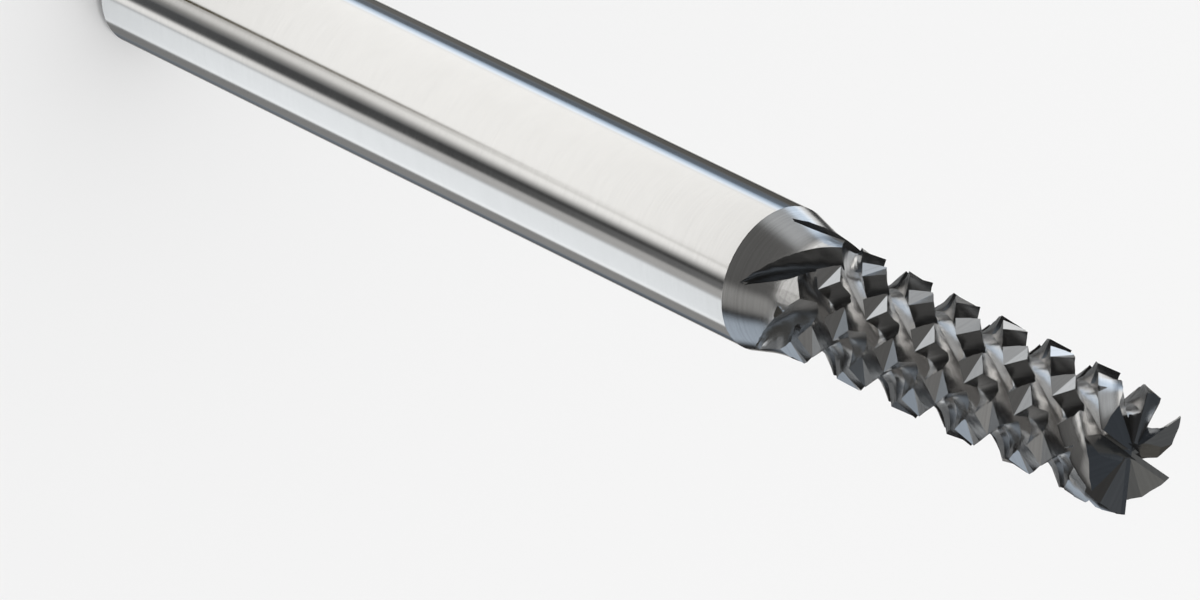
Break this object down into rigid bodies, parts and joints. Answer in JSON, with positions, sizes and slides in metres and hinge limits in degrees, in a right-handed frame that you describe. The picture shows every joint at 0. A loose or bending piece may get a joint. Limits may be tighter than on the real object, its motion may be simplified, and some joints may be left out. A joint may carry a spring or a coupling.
{
  "type": "end mill",
  "caption": "Solid carbide roughing end mill with a plain round shank and rows of diamond-shaped teeth between right-hand flutes and left-hand notches.",
  "frame": {"origin": "centre of the shank's flat end", "axes": "+Z along the tool's axis towards the cutting end"},
  "size_m": [0.006, 0.006, 0.057],
  "materials": {
    "ground_carbide": "polished shank, finely ground flutes and teeth"
  },
  "bodies": {
    "root": {"end_mill": "ground_carbide"}
  },
  "joints": []
}
